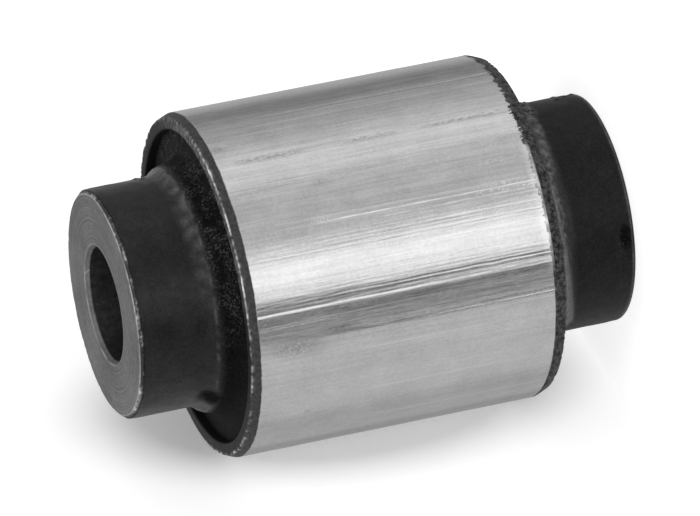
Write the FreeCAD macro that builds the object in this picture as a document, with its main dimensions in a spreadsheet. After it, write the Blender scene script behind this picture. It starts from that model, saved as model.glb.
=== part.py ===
import FreeCAD, Part
import math
import os
import Sketcher

# A bonded rubber and metal bush: a thick steel sleeve for a bolt, a rubber moulding
# bonded around it, and a thin steel shell bonded around the rubber and pressed into an eye.
# The axis is Z, the origin is the middle of the bush, and both ends are the same.

# Driving sizes, in millimetres and degrees
SIZES = {
    # The turned sleeve
    "sleeve_length": 64.0,
    "sleeve_diameter": 28.0,
    "bore_diameter": 14.2,
    "sleeve_edge_break": 0.25,
    "bore_chamfer_width": 0.4,
    "bore_chamfer_depth": 0.6,
    # The shell, cut from drawn tube, with a long lead chamfer for pressing in
    "shell_diameter": 43.0,
    "shell_wall": 2.0,
    "shell_length": 40.5,
    "lead_chamfer_width": 0.5,
    "lead_chamfer_length": 1.2,
    "mouth_break": 0.25,
    # The rubber: a thin skin along the sleeve, which flares into a shoulder
    # that stands out of the shell, with a round-bottomed groove beside the shell
    "skin_thickness": 0.25,
    "skin_setback": 0.6,
    "flare_radius": 2.5,
    "shoulder_rise": 1.15,
    "shoulder_height": 2.3,
    "shoulder_radius": 0.5,
    "flank_angle": 20.0,
    "groove_radius": 2.0,
    "groove_depth": 1.1,
}


def make_sheet(doc):
    """The table of sizes that every piece below is bound to."""
    sheet = doc.addObject("Spreadsheet::Sheet", "Sizes")
    for row, (alias, value) in enumerate(SIZES.items(), start=1):
        sheet.set(f"A{row}", alias.replace("_", " "))
        sheet.set(f"B{row}", str(value))
        sheet.setAlias(f"B{row}", alias)
    doc.recompute()
    return sheet


def make_body(doc, label):
    """A body at the origin, named as its file will be."""
    body = doc.addObject("PartDesign::Body", label)
    body.Label = label
    body.Placement = FreeCAD.Placement()
    return body


def origin_plane(body, role):
    """One of the body's own three planes."""
    return next(item for item in body.Origin.OriginFeatures if item.Role == role)


def half_section(body, name):
    """An empty sketch in the XZ plane: its x is the radius and its y runs up the axis."""
    sketch = body.newObject("Sketcher::SketchObject", name)
    sketch.AttachmentSupport = (origin_plane(body, "XZ_Plane"), [""])
    sketch.MapMode = "FlatFace"
    return sketch


def add_line(sketch, start, end):
    """A line between two points given as radius and height."""
    return sketch.addGeometry(Part.LineSegment(FreeCAD.Vector(*start, 0), FreeCAD.Vector(*end, 0)))


def add_arc(sketch, centre, radius, start, end):
    """An arc drawn anticlockwise from one angle to another, in degrees."""
    circle = Part.Circle(FreeCAD.Vector(*centre, 0), FreeCAD.Vector(0, 0, 1), radius)
    return sketch.addGeometry(Part.ArcOfCircle(circle, math.radians(start), math.radians(end)))


def tie(sketch, kind, *where):
    """A constraint with no size, such as Horizontal or Tangent."""
    return sketch.addConstraint(Sketcher.Constraint(kind, *where))


def drive(sketch, name, kind, *where_and_value, by):
    """A constraint with a size of its own, bound to the sheet."""
    index = sketch.addConstraint(Sketcher.Constraint(kind, *where_and_value))
    sketch.renameConstraint(index, name)
    sketch.setExpression(f"Constraints.{name}", by)


# How a constraint names the origin, the horizontal axis, and a curve's ends and centre
ORIGIN = (-1, 1)
AXIS = -1
START, END, CENTRE = 1, 2, 3


def revolve_both_ends(body, sketch, name):
    """Turns the upper half of a piece about the axis and mirrors it to the lower end."""
    half = body.newObject("PartDesign::Revolution", f"{name}_upper_half")
    half.Profile = sketch
    half.ReferenceAxis = (sketch, ["V_Axis"])
    half.Angle = 360
    sketch.Visibility = False
    body.Document.recompute()
    whole = body.newObject("PartDesign::Mirrored", f"{name}_both_ends")
    whole.Originals = [half]
    whole.MirrorPlane = (origin_plane(body, "XY_Plane"), [""])
    body.Tip = whole
    body.Document.recompute()


def inner_sleeve(doc):
    """Thick tube turned to length, with chamfered bore mouths and broken outer edges."""
    body = make_body(doc, "inner_sleeve")
    sketch = half_section(body, "SleeveSection")
    bore = SIZES["bore_diameter"] / 2
    outside = SIZES["sleeve_diameter"] / 2
    top = SIZES["sleeve_length"] / 2
    edge = SIZES["sleeve_edge_break"]
    width = SIZES["bore_chamfer_width"]
    depth = SIZES["bore_chamfer_depth"]

    middle = add_line(sketch, (bore, 0), (outside, 0))
    barrel = add_line(sketch, (outside, 0), (outside, top - edge))
    corner = add_line(sketch, (outside, top - edge), (outside - edge, top))
    face = add_line(sketch, (outside - edge, top), (bore + width, top))
    chamfer = add_line(sketch, (bore + width, top), (bore, top - depth))
    wall = add_line(sketch, (bore, top - depth), (bore, 0))
    ring = [middle, barrel, corner, face, chamfer, wall]
    for line, following in zip(ring, ring[1:] + ring[:1]):
        tie(sketch, "Coincident", line, END, following, START)
    tie(sketch, "PointOnObject", middle, START, AXIS)
    for line in (middle, face):
        tie(sketch, "Horizontal", line)
    for line in (barrel, wall):
        tie(sketch, "Vertical", line)

    drive(sketch, "bore_radius", "DistanceX", *ORIGIN, middle, START, bore,
          by="Sizes.bore_diameter / 2")
    drive(sketch, "outer_radius", "DistanceX", *ORIGIN, middle, END, outside,
          by="Sizes.sleeve_diameter / 2")
    drive(sketch, "half_length", "DistanceY", *ORIGIN, face, START, top, by="Sizes.sleeve_length / 2")
    drive(sketch, "edge_width", "DistanceX", corner, END, corner, START, edge,
          by="Sizes.sleeve_edge_break")
    drive(sketch, "edge_depth", "DistanceY", corner, START, corner, END, edge,
          by="Sizes.sleeve_edge_break")
    drive(sketch, "chamfer_width", "DistanceX", chamfer, END, chamfer, START, width,
          by="Sizes.bore_chamfer_width")
    drive(sketch, "chamfer_depth", "DistanceY", chamfer, END, chamfer, START, depth,
          by="Sizes.bore_chamfer_depth")
    revolve_both_ends(body, sketch, "Sleeve")
    return body


def outer_shell(doc):
    """Thin drawn tube with a long lead chamfer outside each end and a broken edge inside."""
    body = make_body(doc, "outer_shell")
    sketch = half_section(body, "ShellSection")
    outside = SIZES["shell_diameter"] / 2
    inside = outside - SIZES["shell_wall"]
    top = SIZES["shell_length"] / 2
    width = SIZES["lead_chamfer_width"]
    length = SIZES["lead_chamfer_length"]
    mouth = SIZES["mouth_break"]

    middle = add_line(sketch, (inside, 0), (outside, 0))
    barrel = add_line(sketch, (outside, 0), (outside, top - length))
    lead = add_line(sketch, (outside, top - length), (outside - width, top))
    face = add_line(sketch, (outside - width, top), (inside + mouth, top))
    corner = add_line(sketch, (inside + mouth, top), (inside, top - mouth))
    wall = add_line(sketch, (inside, top - mouth), (inside, 0))
    ring = [middle, barrel, lead, face, corner, wall]
    for line, following in zip(ring, ring[1:] + ring[:1]):
        tie(sketch, "Coincident", line, END, following, START)
    tie(sketch, "PointOnObject", middle, START, AXIS)
    for line in (middle, face):
        tie(sketch, "Horizontal", line)
    for line in (barrel, wall):
        tie(sketch, "Vertical", line)

    drive(sketch, "outer_radius", "DistanceX", *ORIGIN, middle, END, outside,
          by="Sizes.shell_diameter / 2")
    drive(sketch, "wall", "DistanceX", middle, START, middle, END, SIZES["shell_wall"],
          by="Sizes.shell_wall")
    drive(sketch, "half_length", "DistanceY", *ORIGIN, face, START, top, by="Sizes.shell_length / 2")
    drive(sketch, "lead_width", "DistanceX", lead, END, lead, START, width,
          by="Sizes.lead_chamfer_width")
    drive(sketch, "lead_length", "DistanceY", lead, START, lead, END, length,
          by="Sizes.lead_chamfer_length")
    drive(sketch, "mouth_width", "DistanceX", corner, END, corner, START, mouth, by="Sizes.mouth_break")
    drive(sketch, "mouth_depth", "DistanceY", corner, END, corner, START, mouth, by="Sizes.mouth_break")
    revolve_both_ends(body, sketch, "Shell")
    return body


def rubber_body(doc):
    """One moulding, bonded to the sleeve and the shell along its whole length.

    From the sleeve's end inwards: the skin, the flare, the shoulder's rounded crest, the
    flank, the round bottom of the groove, and the flat ring that ends at the shell.
    """
    body = make_body(doc, "rubber_body")
    sketch = half_section(body, "RubberSection")
    bond = SIZES["sleeve_diameter"] / 2
    skin = bond + SIZES["skin_thickness"]
    outside = SIZES["shell_diameter"] / 2 - SIZES["shell_wall"]
    skin_end = SIZES["sleeve_length"] / 2 - SIZES["skin_setback"]
    shell_end = SIZES["shell_length"] / 2
    floor = shell_end - SIZES["groove_depth"]
    crest_radius = SIZES["shoulder_radius"]
    flare_radius = SIZES["flare_radius"]
    groove_radius = SIZES["groove_radius"]
    flank_angle = SIZES["flank_angle"]
    lean = math.radians(flank_angle)

    # The crest's centre, then each curve that touches the one before it
    crest = (bond + SIZES["shoulder_rise"] - crest_radius,
             shell_end + SIZES["shoulder_height"] - crest_radius)
    reach = crest_radius + flare_radius
    flare = (skin + flare_radius,
             crest[1] + math.sqrt(reach ** 2 - (skin + flare_radius - crest[0]) ** 2))
    flare_angle = math.degrees(math.atan2(flare[1] - crest[1], flare[0] - crest[0]))
    crest_foot = (crest[0] + crest_radius * math.cos(lean), crest[1] + crest_radius * math.sin(lean))
    groove_height = floor + groove_radius
    flank_foot_height = groove_height - groove_radius * math.sin(lean)
    flank_foot = (crest_foot[0] + (crest_foot[1] - flank_foot_height) * math.tan(lean),
                  flank_foot_height)
    groove = (flank_foot[0] + groove_radius * math.cos(lean), groove_height)

    middle = add_line(sketch, (bond, 0), (outside, 0))
    shell_bond = add_line(sketch, (outside, 0), (outside, floor))
    bottom = add_line(sketch, (outside, floor), (groove[0], floor))
    round_bottom = add_arc(sketch, groove, groove_radius, 180 + flank_angle, 270)
    flank = add_line(sketch, flank_foot, crest_foot)
    round_crest = add_arc(sketch, crest, crest_radius, flank_angle, flare_angle)
    round_flare = add_arc(sketch, flare, flare_radius, 180, 180 + flare_angle)
    barrel = add_line(sketch, (skin, flare[1]), (skin, skin_end))
    lip = add_line(sketch, (skin, skin_end), (bond, skin_end))
    sleeve_bond = add_line(sketch, (bond, skin_end), (bond, 0))

    for line, following in ((middle, shell_bond), (shell_bond, bottom), (barrel, lip),
                            (lip, sleeve_bond), (sleeve_bond, middle)):
        tie(sketch, "Coincident", line, END, following, START)
    tie(sketch, "Tangent", bottom, END, round_bottom, END)
    tie(sketch, "Tangent", round_bottom, START, flank, START)
    tie(sketch, "Tangent", flank, END, round_crest, START)
    tie(sketch, "Tangent", round_crest, END, round_flare, END)
    tie(sketch, "Tangent", round_flare, START, barrel, START)
    tie(sketch, "PointOnObject", middle, START, AXIS)
    for line in (middle, bottom, lip):
        tie(sketch, "Horizontal", line)
    for line in (shell_bond, barrel, sleeve_bond):
        tie(sketch, "Vertical", line)

    drive(sketch, "bond_radius", "DistanceX", *ORIGIN, middle, START, bond,
          by="Sizes.sleeve_diameter / 2")
    drive(sketch, "outer_radius", "DistanceX", *ORIGIN, middle, END, outside,
          by="Sizes.shell_diameter / 2 - Sizes.shell_wall")
    drive(sketch, "floor_height", "DistanceY", *ORIGIN, bottom, START, floor,
          by="Sizes.shell_length / 2 - Sizes.groove_depth")
    drive(sketch, "skin_end", "DistanceY", *ORIGIN, lip, START, skin_end,
          by="Sizes.sleeve_length / 2 - Sizes.skin_setback")
    drive(sketch, "skin", "DistanceX", lip, END, lip, START, SIZES["skin_thickness"],
          by="Sizes.skin_thickness")
    drive(sketch, "crest_x", "DistanceX", *ORIGIN, round_crest, CENTRE, crest[0],
          by="Sizes.sleeve_diameter / 2 + Sizes.shoulder_rise - Sizes.shoulder_radius")
    drive(sketch, "crest_y", "DistanceY", *ORIGIN, round_crest, CENTRE, crest[1],
          by="Sizes.shell_length / 2 + Sizes.shoulder_height - Sizes.shoulder_radius")
    drive(sketch, "crest_radius", "Radius", round_crest, crest_radius, by="Sizes.shoulder_radius")
    drive(sketch, "flare_radius", "Radius", round_flare, flare_radius, by="Sizes.flare_radius")
    drive(sketch, "groove_radius", "Radius", round_bottom, groove_radius, by="Sizes.groove_radius")
    # The flank leans outwards from the axis as it goes down into the groove
    drive(sketch, "flank_slope", "Angle", flank, lean + math.pi / 2, by="Sizes.flank_angle + 90")
    revolve_both_ends(body, sketch, "Rubber")
    return body


def check(doc, bodies):
    """Stops if any object failed or any piece isn't one valid solid."""
    for item in doc.Objects:
        if "Invalid" in item.State or "Error" in item.State:
            raise RuntimeError(f"{item.Label} failed: {item.State}")
        if item.TypeId == "Sketcher::SketchObject" and not item.FullyConstrained:
            raise RuntimeError(f"{item.Label} isn't fully constrained")
    for body in bodies:
        if body.Shape.isNull() or not body.Shape.isValid() or len(body.Shape.Solids) != 1:
            raise RuntimeError(f"{body.Label} isn't one valid solid")


doc = FreeCAD.newDocument("rubber_metal_bush")
make_sheet(doc)
pieces = [inner_sleeve(doc), rubber_body(doc), outer_shell(doc)]
doc.recompute()
check(doc, pieces)

os.makedirs("parts", exist_ok=True)
for piece in pieces:
    piece.Shape.exportStep(f"parts/{piece.Label}.step")
    print(piece.Label, round(piece.Shape.Volume, 1), "cubic millimetres")
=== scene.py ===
import bpy
import math
import random
from mathutils import Matrix, Vector, noise


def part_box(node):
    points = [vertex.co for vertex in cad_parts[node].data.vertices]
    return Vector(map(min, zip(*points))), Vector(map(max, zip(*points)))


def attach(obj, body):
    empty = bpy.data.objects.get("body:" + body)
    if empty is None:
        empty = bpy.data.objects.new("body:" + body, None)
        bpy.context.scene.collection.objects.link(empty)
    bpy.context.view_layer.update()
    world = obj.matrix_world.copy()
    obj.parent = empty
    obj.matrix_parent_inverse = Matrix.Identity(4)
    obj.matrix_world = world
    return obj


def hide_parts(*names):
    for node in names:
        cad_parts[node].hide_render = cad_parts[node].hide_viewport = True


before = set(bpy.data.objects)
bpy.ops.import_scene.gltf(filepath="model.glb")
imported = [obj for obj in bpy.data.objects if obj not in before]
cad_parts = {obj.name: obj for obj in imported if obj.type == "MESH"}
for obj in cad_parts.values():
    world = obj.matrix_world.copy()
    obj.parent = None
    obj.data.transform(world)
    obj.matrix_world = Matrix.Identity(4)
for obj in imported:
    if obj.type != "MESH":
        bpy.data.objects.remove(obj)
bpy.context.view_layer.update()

MM = 0.001


# The inner sleeve is a thick steel tube for the bolt. It is parted off and faced on a lathe, and
# phosphated dark grey so that the rubber bonds to it. The rings that the tool left show on its
# end faces, and knocks along the edges have gone through the grey to bright steel.
SLEEVE_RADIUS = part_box("inner_sleeve")[1].y
SLEEVE_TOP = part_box("inner_sleeve")[1].z
BORE_RADIUS = 7.1 * MM
BORE_CHAMFER_WIDTH = 0.4 * MM
BORE_CHAMFER_DEPTH = 0.6 * MM
EDGE_BREAK = 0.25 * MM
SLEEVE_COLUMNS = 480
SCRATCH_BEARING = -146
WELD = 0.001 * MM
SHARP_ANGLE = math.radians(25)


def turned(name, section, columns):
    """A ring turned about Z from the corners of its closed section, each a radius and a height."""
    bpy.ops.object.select_all(action="DESELECT")
    bpy.ops.mesh.primitive_plane_add(size=MM)
    piece = bpy.context.object
    piece.name = name
    bpy.ops.object.mode_set(mode="EDIT")
    bpy.ops.mesh.select_all(action="SELECT")
    bpy.ops.mesh.merge(type="CENTER")
    bpy.ops.transform.translate(value=(section[0][0], 0, section[0][1]))
    for here, following in zip(section, section[1:] + section[:1]):
        step = (following[0] - here[0], 0, following[1] - here[1])
        bpy.ops.mesh.extrude_region_move(TRANSFORM_OT_translate={"value": step})
    bpy.ops.mesh.select_all(action="SELECT")
    bpy.ops.mesh.remove_doubles(threshold=WELD)
    bpy.ops.object.mode_set(mode="OBJECT")
    turning = piece.modifiers.new("turning", "SCREW")
    turning.axis = "Z"
    turning.angle = math.tau
    turning.steps = columns
    turning.render_steps = columns
    bpy.ops.object.modifier_apply(modifier=turning.name)
    bpy.ops.object.mode_set(mode="EDIT")
    bpy.ops.mesh.select_all(action="SELECT")
    bpy.ops.mesh.remove_doubles(threshold=WELD)
    bpy.ops.mesh.normals_make_consistent(inside=False)
    bpy.ops.object.mode_set(mode="OBJECT")
    bpy.ops.object.shade_smooth_by_angle(angle=SHARP_ANGLE)
    return piece


def mirrored(upper):
    """The whole section, from the corners of its upper half in their order round the piece."""
    return upper + [(radius, -height) for radius, height in reversed(upper)]


def between(low, high, count):
    """Evenly spaced values inside two limits."""
    return [low + (high - low) * step / (count + 1) for step in range(1, count + 1)]


def bearing(place):
    """Degrees round the axis: 0 faces -Y, 90 faces -X and -90 faces +X."""
    return math.degrees(math.atan2(-place.x, -place.y))


def bump_at(value, middle, half_width):
    """1 at the middle, falling smoothly to 0 at half a width away."""
    away = abs(value - middle) / half_width
    return 0 if away >= 1 else (1 - away * away) ** 2


def within(value, start, end, fade):
    """1 between start and end, falling to 0 over the fade outside them."""
    outside = max(start - value, value - end, 0)
    return max(0, 1 - outside / fade)


def lumps(place, size, seed):
    """A smooth random number around 0.5 whose lumps are about as wide as size."""
    return 0.5 + 0.5 * noise.noise(place / size + Vector((seed, seed, seed)))


def push(piece, depth, weight, direction="NORMAL"):
    """Moves each point by depth times the weight, from 0 to 1, that its place gives."""
    group = piece.vertex_groups.new(name="push")
    for vertex in piece.data.vertices:
        amount = weight(vertex.co)
        if amount > 0:
            group.add([vertex.index], min(amount, 1), "REPLACE")
    pushing = piece.modifiers.new("push", "DISPLACE")
    pushing.vertex_group = group.name
    pushing.direction = direction
    pushing.strength = depth
    pushing.mid_level = 0
    bpy.ops.object.select_all(action="DESELECT")
    piece.select_set(True)
    bpy.context.view_layer.objects.active = piece
    bpy.ops.object.modifier_apply(modifier=pushing.name)
    piece.vertex_groups.clear()


def paint(piece, name, weight):
    """Keeps a weight from 0 to 1 on each point, for the material to read."""
    layer = piece.data.attributes.new(name, "FLOAT", "POINT")
    layer.data.foreach_set("value", [min(max(weight(v.co), 0), 1) for v in piece.data.vertices])


# The upper half of the section: up the bore, over its chamfer, across the end face and down the
# outside, with more corners near the edges, where the knocks are
CHAMFER_FOOT = SLEEVE_TOP - BORE_CHAMFER_DEPTH
BORE_EDGE = BORE_RADIUS + BORE_CHAMFER_WIDTH
FACE_END = SLEEVE_RADIUS - 4 * EDGE_BREAK
sleeve_section = [(BORE_RADIUS, height * MM) for height in (8, 16, 24)]
sleeve_section += [(BORE_RADIUS, CHAMFER_FOOT)]
sleeve_section += [(BORE_RADIUS + BORE_CHAMFER_WIDTH * share, CHAMFER_FOOT + BORE_CHAMFER_DEPTH * share)
                   for share in (0.25, 0.5, 0.75, 1)]
sleeve_section += [(BORE_EDGE + 0.12 * MM, SLEEVE_TOP)]
sleeve_section += [(radius, SLEEVE_TOP) for radius in between(BORE_EDGE, FACE_END, 8)]
sleeve_section += [(SLEEVE_RADIUS - EDGE_BREAK * share, SLEEVE_TOP) for share in (4, 3, 2.3, 1.6, 1)]
sleeve_section += [(SLEEVE_RADIUS - EDGE_BREAK / 2, SLEEVE_TOP - EDGE_BREAK / 2)]
sleeve_section += [(SLEEVE_RADIUS, SLEEVE_TOP - EDGE_BREAK * share) for share in (1, 1.6, 2.3, 3, 4, 8)]
sleeve = turned("sleeve", mirrored(sleeve_section), SLEEVE_COLUMNS)


def sleeve_knocks(place):
    """Knocks along the outer edges, where small lumps of chance meet large ones."""
    mid_edge = Vector((SLEEVE_RADIUS - EDGE_BREAK / 2, SLEEVE_TOP - EDGE_BREAK / 2))
    away = (Vector((place.xy.length, abs(place.z))) - mid_edge).length
    knock = lumps(place, 0.6 * MM, 3) * lumps(place, 3.5 * MM, 8) * 4
    return bump_at(away, 0, 0.45 * MM) * max(0, 1.3 * knock - 1.35)


def sleeve_bright(place):
    """Where the edges are rubbed bright: uneven thin lines round outside and bore, and flecks."""
    height = SLEEVE_TOP - abs(place.z)
    away = math.hypot(place.xy.length - SLEEVE_RADIUS + EDGE_BREAK, height)
    line = 2.4 * lumps(place, 0.8 * MM, 11) * lumps(place, 5 * MM, 5) - 0.05
    line *= bump_at(away, 0, 0.16 * MM) * (0.9 + 0.5 * within(bearing(place), -80, 0, 20))
    flecks = 4 * lumps(place, 0.3 * MM, 13) * lumps(place, 2 * MM, 14) - 1.15
    flecks *= within(height / MM, 0.1, 0.5, 0.1) * (place.xy.length > SLEEVE_RADIUS - 0.05 * MM)
    bore_away = math.hypot(place.xy.length - BORE_EDGE, height)
    bore_line = bump_at(bore_away, 0, 0.13 * MM) * max(0, 1.8 * lumps(place, 1.5 * MM, 15) - 0.25)
    # A scratch that runs out over the chamfer of the bore
    radius = place.xy.length / MM
    across = math.radians(bearing(place) - SCRATCH_BEARING) * radius + (radius - 7.3) * 2
    scratch = bump_at(across, 0, 0.2) * (height < 0.5 * MM) * (place.xy.length < 7.6 * MM)
    return max(line, 0.75 * flecks, 0.6 * sleeve_knocks(place), 0.5 * bore_line, 0.4 * scratch)


paint(sleeve, "bright", sleeve_bright)
push(sleeve, -0.06 * MM, sleeve_knocks)


def linear(colour):
    """A hex sRGB colour as linear red, green, blue and alpha."""
    parts = [int(colour[i:i + 2], 16) / 255 for i in (1, 3, 5)]
    return (*[part / 12.92 if part <= 0.04045 else ((part + 0.055) / 1.055) ** 2.4 for part in parts], 1)


def add(tree, kind, links, **settings):
    """Adds a node with its settings; each input is linked to an output or set to a value."""
    made = tree.nodes.new("ShaderNode" + kind)
    for name, value in settings.items():
        setattr(made, name, value)
    for name, value in links.items():
        if isinstance(value, bpy.types.Node):
            value = next(output for output in value.outputs if output.enabled)
        if isinstance(value, bpy.types.NodeSocket):
            tree.links.new(value, made.inputs[name])
        else:
            made.inputs[name].default_value = value
    return made


def new_tree(name):
    """An empty material tree, with the output left to be linked."""
    material = bpy.data.materials.new(name)
    material.use_nodes = True
    material.node_tree.nodes.clear()
    return material, material.node_tree


# Phosphated turned steel: dull dark grey metal. Fine rings from the facing tool about 0.3 mm
# apart, a crystalline mottle, and bright steel where the edges are worn. The coat's tones are
# linear greys.
material, tree = new_tree("phosphated_turned_steel")
place = add(tree, "Mapping", {"Vector": add(tree, "TexCoord", {}).outputs["Object"],
                              "Scale": (1000, 1000, 1000)})
across = add(tree, "VectorMath", {0: place, 1: (1, 1, 0)}, operation="MULTIPLY")
from_axis = add(tree, "VectorMath", {0: across}, operation="LENGTH").outputs["Value"]
rings = add(tree, "TexNoise", {"W": from_axis, "Scale": 3.2, "Detail": 3.0, "Roughness": 0.75},
            noise_dimensions="1D")
mottle = add(tree, "TexNoise", {"Vector": place, "Scale": 1.6, "Detail": 6.0, "Roughness": 0.8})
clouds = add(tree, "TexNoise", {"Vector": place, "Scale": 0.12, "Detail": 2.0})
bright = add(tree, "Attribute", {}, attribute_name="bright").outputs["Fac"]
tone = add(tree, "MixRGB", {"Fac": 0.6, "Color1": rings, "Color2": mottle})
tone = add(tree, "MixRGB", {"Fac": 0.25, "Color1": tone, "Color2": clouds})
coat = add(tree, "MapRange", {"Value": tone, "From Min": 0.42, "From Max": 0.58,
                              "To Min": 0.09, "To Max": 0.20})
# Painted shade: the coat is darker in the bore and round the outside of the sleeve
in_bore = add(tree, "Math", {0: from_axis, 1: BORE_RADIUS / MM + 0.05}, operation="LESS_THAN")
in_bore = add(tree, "Math", {0: in_bore, 1: 0.7}, operation="MULTIPLY")
outer_side = add(tree, "MapRange", {"Value": from_axis, "From Min": (SLEEVE_RADIUS - EDGE_BREAK) / MM,
                                    "From Max": SLEEVE_RADIUS / MM - 0.1})
shaded_parts = add(tree, "Math", {0: in_bore, 1: outer_side}, operation="MAXIMUM")
shade = add(tree, "MapRange", {"Value": shaded_parts, "To Min": 1.0, "To Max": 0.35})
coat = add(tree, "Math", {0: coat, 1: shade}, operation="MULTIPLY")
colour = add(tree, "MixRGB", {"Fac": bright, "Color1": coat, "Color2": linear("#C9C9C9")})
rough = add(tree, "MapRange", {"Value": mottle, "From Min": 0.3, "From Max": 0.7,
                               "To Min": 0.48, "To Max": 0.62})
relief = add(tree, "Bump", {"Height": rings, "Distance": 0.02 * MM, "Strength": 1.0})
relief = add(tree, "Bump", {"Height": mottle, "Distance": 0.03 * MM, "Strength": 1.0, "Normal": relief})
shader = add(tree, "BsdfPrincipled", {"Base Color": colour, "Metallic": 1.0, "Roughness": rough,
                                      "Normal": relief})
add(tree, "OutputMaterial", {"Surface": shader})
sleeve.data.materials.append(material)
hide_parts("inner_sleeve")
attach(sleeve, "root")


# The rubber is one black moulding, cured and bonded between the sleeve and the shell. A thin skin
# runs out along the sleeve, flares into a shoulder that stands out of the shell, and drops into
# a round-bottomed groove beside it. Flash, dust and nibs of the mould stay on it.
SHELL_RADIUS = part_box("outer_shell")[1].y
SHELL_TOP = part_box("outer_shell")[1].z
SHELL_WALL = 2.0 * MM
SHELL_INSIDE = SHELL_RADIUS - SHELL_WALL
SKIN_THICKNESS = 0.25 * MM
SKIN_RADIUS = SLEEVE_RADIUS + SKIN_THICKNESS
SKIN_SETBACK = 0.6 * MM
SKIN_TOP = SLEEVE_TOP - SKIN_SETBACK
LIP_RADIUS = 0.3 * MM
GROOVE_DEPTH = 1.1 * MM
GROOVE_FLOOR = SHELL_TOP - GROOVE_DEPTH
SHOULDER_RISE = 1.15 * MM
SHOULDER_HEIGHT = 2.3 * MM
CREST_RADIUS = 0.5 * MM
FLARE_RADIUS = 2.5 * MM
GROOVE_RADIUS = 2.0 * MM
FLANK_LEAN = math.radians(20)
CREST = (SLEEVE_RADIUS + SHOULDER_RISE - CREST_RADIUS, SHELL_TOP + SHOULDER_HEIGHT - CREST_RADIUS)
FLARE_ACROSS = SKIN_RADIUS + FLARE_RADIUS - CREST[0]
FLARE_UP = math.sqrt((CREST_RADIUS + FLARE_RADIUS) ** 2 - FLARE_ACROSS ** 2)
FLARE = (CREST[0] + FLARE_ACROSS, CREST[1] + FLARE_UP)
FLARE_TURN = math.atan2(FLARE_UP, FLARE_ACROSS)
RUBBER_COLUMNS = 480


def arc(centre, radius, start, end, count):
    """Points along an arc, with both ends."""
    turns = [start + (end - start) * step / count for step in range(count + 1)]
    return [(centre[0] + radius * math.cos(turn), centre[1] + radius * math.sin(turn)) for turn in turns]


# One end of the section: in along the groove's floor, up its round side and the flank, over the
# crest and in along the flare to the skin. At the upper end the skin stops short of the sleeve's
# end, and at the lower end it runs on to it with a rounded lip.
crest = arc(CREST, CREST_RADIUS, FLANK_LEAN, FLARE_TURN, 6)
flare = arc(FLARE, FLARE_RADIUS, math.pi + FLARE_TURN, math.pi, 7)
groove_height = GROOVE_FLOOR + GROOVE_RADIUS
flank_foot = groove_height - GROOVE_RADIUS * math.sin(FLANK_LEAN)
groove_radius = (crest[0][0] + (crest[0][1] - flank_foot) * math.tan(FLANK_LEAN)
                 + GROOVE_RADIUS * math.cos(FLANK_LEAN))
groove = arc((groove_radius, groove_height), GROOVE_RADIUS, 1.5 * math.pi, math.pi + FLANK_LEAN, 6)
rubber_end = [(SHELL_INSIDE, GROOVE_FLOOR)]
rubber_end += [(radius, GROOVE_FLOOR) for radius in between(SHELL_INSIDE, groove_radius, 3)]
rubber_end += groove
rubber_end += [(crest[0][0] + (crest[0][1] - height) * math.tan(FLANK_LEAN), height)
               for height in between(flank_foot, crest[0][1], 8)]
rubber_end += crest + flare[1:]
upper = rubber_end + [(SKIN_RADIUS, height) for height in between(FLARE[1], SKIN_TOP, 26)]
upper += [(SKIN_RADIUS, SKIN_TOP), (SLEEVE_RADIUS, SKIN_TOP)]
lip = arc((SKIN_RADIUS - LIP_RADIUS, SLEEVE_TOP - LIP_RADIUS), LIP_RADIUS, 0, math.pi / 2, 4)
lower = rubber_end + [(SKIN_RADIUS, height) for height in between(FLARE[1], lip[0][1], 28)]
lower += lip
lower = [(radius, -height) for radius, height in reversed(lower)]
rubber = turned("rubber", upper + lower, RUBBER_COLUMNS)


def ragged_skin(place):
    """The torn end of the skin, which leaves more or less of the sleeve bare."""
    at_end = bump_at(place.z, SKIN_TOP, 0.4 * MM)
    return at_end * (0.7 * lumps(place, 0.9 * MM, 21) + 0.6 * lumps(place, 3 * MM, 26) - 0.3)


def swells(place):
    """The slow unevenness of the moulding, which the light picks up on the shoulders."""
    free = within(place.xy.length / MM, 0, SHELL_INSIDE / MM - 0.6, 0.4)
    return free * (abs(place.z) < SKIN_TOP - 0.5 * MM) * lumps(place, 2.2 * MM, 31)


def skin_distance(place, turn, height, stretch=1):
    """Millimetres over the skin from a bearing and a height, with less weight for the way round."""
    across = math.radians(bearing(place) - turn) * SKIN_RADIUS / MM
    return math.hypot(across / stretch, place.z / MM - height)


# Mould nibs, each with a bearing, a height and a radius, all but the first in millimetres
NIBS = [(-88, 25.3, 0.55), (-84, 24.7, 0.5), (-93, 25.0, 0.5), (-80, -28.9, 0.6), (-84, -30.2, 0.5),
        (-88, -31.4, 0.5), (-95, -29.6, 0.5), (4.3, 22.9, 0.3), (30, -30.8, 0.35), (27, -31.2, 0.3),
        (-33, -25.5, 0.3), (-34, -26.3, 0.25), (85, 22.4, 1.4), (150, 27.0, 0.5), (152, -28.0, 0.5)]


def nibs(place):
    """Small blobs that stand up from the skin."""
    return max(bump_at(skin_distance(place, turn, height), 0, size) for turn, height, size in NIBS)


CHIP_BEARING = 15


def chip(place):
    """A bite out of the skin near the lower end."""
    away = skin_distance(place, CHIP_BEARING, -30.8, 2.2)
    return bump_at(away, 0, 1.3) * (0.4 + 1.2 * lumps(place, 0.5 * MM, 41))


def flash(place):
    """Wrinkled flash along the lower shoulder, on the side away from the mould's gate."""
    middle = 22.2 + 2.4 * (1 - math.cos(math.radians(bearing(place)))) + 0.8 * lumps(place, 2.5 * MM, 55)
    wrinkles = max(0, 2.6 * lumps(place, 0.55 * MM, 51) - 0.6)
    return bump_at(-place.z / MM, middle, 1.0) * within(bearing(place), -85, 12, 12) * wrinkles


def under_lip(place):
    """Millimetres below the line along which the lip starts, which drops away to the side."""
    return -place.z / MM - 22.3 - 1.1 * (bearing(place) / 54) ** 2


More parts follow.
